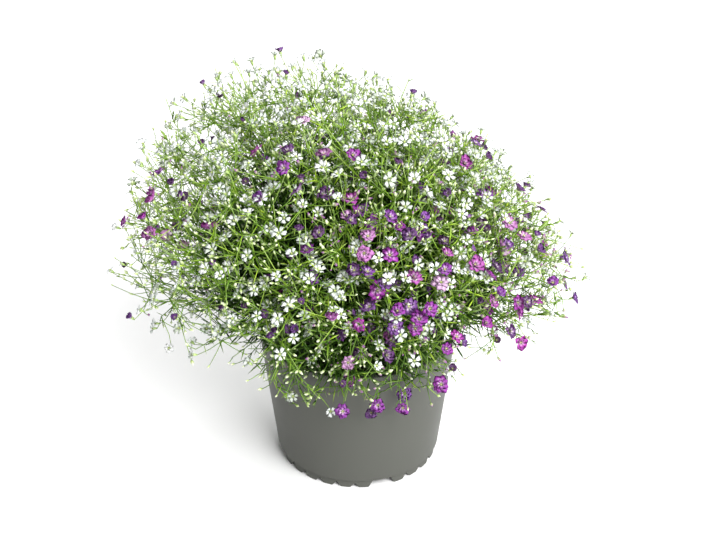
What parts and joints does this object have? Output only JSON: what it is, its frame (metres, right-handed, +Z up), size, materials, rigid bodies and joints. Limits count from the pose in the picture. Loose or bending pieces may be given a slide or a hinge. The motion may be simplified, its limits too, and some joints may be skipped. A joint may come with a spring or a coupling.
{
  "type": "potted gypsophila",
  "caption": "Airy round cushion of thin branching stems with narrow leaves and tiny white and purple flowers, growing in a plain tapered grower's pot that stands on a ring of small feet.",
  "frame": {"origin": "on the pot's upright axis, level with the underside of its feet, which is the bottom centre of the whole plant's box", "axes": "+Z up; -Y is the side that faces the viewer in the picture; +X is to the viewer's right"},
  "size_m": [0.301, 0.232, 0.2634],
  "materials": {
    "pot": "satin grey moulded polypropylene",
    "soil": "loose dark peat compost",
    "leaves_and_stems": "matt fresh green leaf",
    "white_flowers": "thin matt white petal",
    "purple_flowers": "thin matt purple petal"
  },
  "bodies": {
    "root": {"pot": "pot", "soil": "soil", "leafy_stems_middle": "leaves_and_stems", "leafy_stems_side_1": "leaves_and_stems", "leafy_stems_side_2": "leaves_and_stems", "leafy_stems_side_3": "leaves_and_stems", "leafy_stems_side_4": "leaves_and_stems", "leafy_stems_side_5": "leaves_and_stems", "leafy_stems_side_6": "leaves_and_stems", "spray_white_1": "white_flowers", "spray_white_2": "white_flowers", "spray_white_3": "white_flowers", "spray_white_4": "white_flowers", "spray_white_5": "white_flowers", "spray_white_6": "white_flowers", "spray_white_7": "white_flowers", "spray_white_8": "white_flowers", "spray_white_9": "white_flowers", "spray_white_10": "white_flowers", "spray_white_11": "white_flowers", "spray_white_12": "white_flowers", "spray_white_13": "white_flowers", "spray_white_14": "white_flowers", "spray_white_15": "white_flowers", "spray_white_16": "white_flowers", "spray_white_17": "white_flowers", "spray_white_18": "white_flowers", "spray_white_19": "white_flowers", "spray_white_20": "white_flowers", "spray_white_21": "white_flowers", "spray_white_22": "white_flowers", "spray_white_23": "white_flowers", "spray_white_24": "white_flowers", "spray_white_25": "white_flowers", "spray_white_26": "white_flowers", "spray_white_27": "white_flowers", "spray_white_28": "white_flowers", "spray_white_29": "white_flowers", "spray_white_30": "white_flowers", "spray_purple_1": "purple_flowers", "spray_purple_2": "purple_flowers", "spray_purple_3": "purple_flowers", "spray_purple_4": "purple_flowers", "spray_purple_5": "purple_flowers", "spray_purple_6": "purple_flowers", "spray_purple_7": "purple_flowers", "spray_purple_8": "purple_flowers", "spray_purple_9": "purple_flowers", "spray_purple_10": "purple_flowers", "spray_purple_11": "purple_flowers", "spray_purple_12": "purple_flowers", "spray_purple_13": "purple_flowers", "spray_purple_14": "purple_flowers", "spray_purple_15": "purple_flowers", "spray_purple_16": "purple_flowers", "spray_purple_17": "purple_flowers", "spray_purple_18": "purple_flowers"}
  },
  "joints": []
}
